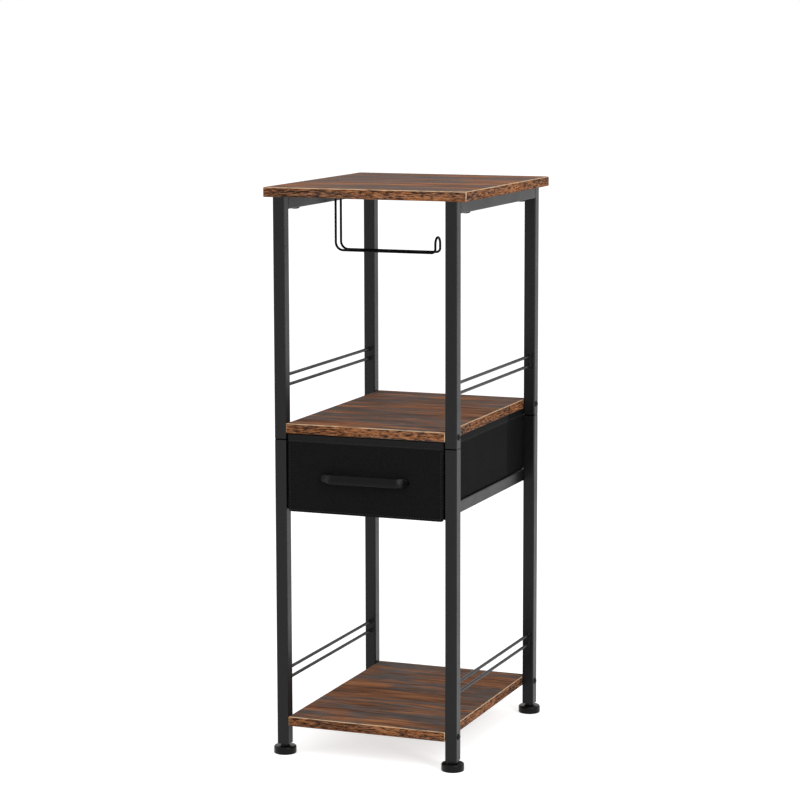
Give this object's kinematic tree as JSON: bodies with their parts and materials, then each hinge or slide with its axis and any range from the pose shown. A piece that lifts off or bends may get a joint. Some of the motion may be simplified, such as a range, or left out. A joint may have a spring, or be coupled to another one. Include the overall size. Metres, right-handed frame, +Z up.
{
  "type": "toilet paper storage stand",
  "caption": "Narrow open bathroom stand: black square-tube frame, rustic brown boards, side guard rods, sliding fabric drawer, wire roll holder and round levelling feet.",
  "frame": {"origin": "on the floor, in the middle of the box round the whole stand", "axes": "+Z up, -Y to the front where the drawer opens, +X to the right seen from the front"},
  "size_m": [0.26, 0.3235, 0.7],
  "materials": {
    "steel_tube": "fine matt black powder coat",
    "steel_wire": "fine matt black powder coat on round bar",
    "board": "rustic brown wood-grain laminate on particle board, satin",
    "fibreboard": "raw fibreboard",
    "fabric": "black non-woven cloth with stitched hems",
    "handle": "satin black",
    "foot_plastic": "moulded black",
    "black_screw": "black oxide",
    "inner_steel": "zinc plated",
    "inner_brass": "plain"
  },
  "bodies": {
    "frame": {"upper_leg_front_left": "steel_tube", "lower_leg_front_left": "steel_tube", "leg_coupling_front_left": "inner_steel", "foot_plug_front_left": "foot_plastic", "upper_leg_front_right": "steel_tube", "lower_leg_front_right": "steel_tube", "leg_coupling_front_right": "inner_steel", "foot_plug_front_right": "foot_plastic", "upper_leg_back_left": "steel_tube", "lower_leg_back_left": "steel_tube", "leg_coupling_back_left": "inner_steel", "foot_plug_back_left": "foot_plastic", "upper_leg_back_right": "steel_tube", "lower_leg_back_right": "steel_tube", "leg_coupling_back_right": "inner_steel", "foot_plug_back_right": "foot_plastic", "top_rail_left": "steel_tube", "drawer_runner_left": "steel_tube", "upper_guard_rod_left_low": "steel_wire", "upper_guard_rod_left_high": "steel_wire", "lower_guard_rod_left_low": "steel_wire", "lower_guard_rod_left_high": "steel_wire", "top_rail_right": "steel_tube", "drawer_runner_right": "steel_tube", "upper_guard_rod_right_low": "steel_wire", "upper_guard_rod_right_high": "steel_wire", "lower_guard_rod_right_low": "steel_wire", "lower_guard_rod_right_high": "steel_wire", "top_shelf": "board", "top_shelf_screws": "black_screw", "middle_shelf": "board", "middle_shelf_screws": "black_screw", "bottom_shelf": "board", "bottom_shelf_screws": "black_screw", "middle_shelf_inserts": "inner_brass", "bottom_shelf_inserts": "inner_brass", "roll_holder_wire": "steel_wire", "roll_holder_plate": "steel_tube", "roll_holder_screws": "black_screw"},
    "drawer": {"drawer_front_cover": "fabric", "drawer_front_board": "fibreboard", "drawer_box": "fabric", "drawer_base_board": "fibreboard", "drawer_handle": "handle", "drawer_handle_screws": "black_screw"},
    "foot_front_left": {"foot_stud_front_left": "inner_steel", "foot_pad_front_left": "foot_plastic"},
    "foot_front_right": {"foot_stud_front_right": "inner_steel", "foot_pad_front_right": "foot_plastic"},
    "foot_back_left": {"foot_stud_back_left": "inner_steel", "foot_pad_back_left": "foot_plastic"},
    "foot_back_right": {"foot_stud_back_right": "inner_steel", "foot_pad_back_right": "foot_plastic"}
  },
  "joints": [
    {"name": "drawer_slide", "type": "slide", "parent": "frame", "child": "drawer", "axis": [0, -1, 0], "range_m": [0, 0.22]},
    {"name": "foot_level_front_left", "type": "slide", "parent": "frame", "child": "foot_front_left", "axis": [0, 0, -1], "range_m": [0, 0.01]},
    {"name": "foot_level_front_right", "type": "slide", "parent": "frame", "child": "foot_front_right", "axis": [0, 0, -1], "range_m": [0, 0.01]},
    {"name": "foot_level_back_left", "type": "slide", "parent": "frame", "child": "foot_back_left", "axis": [0, 0, -1], "range_m": [0, 0.01]},
    {"name": "foot_level_back_right", "type": "slide", "parent": "frame", "child": "foot_back_right", "axis": [0, 0, -1], "range_m": [0, 0.01]}
  ]
}
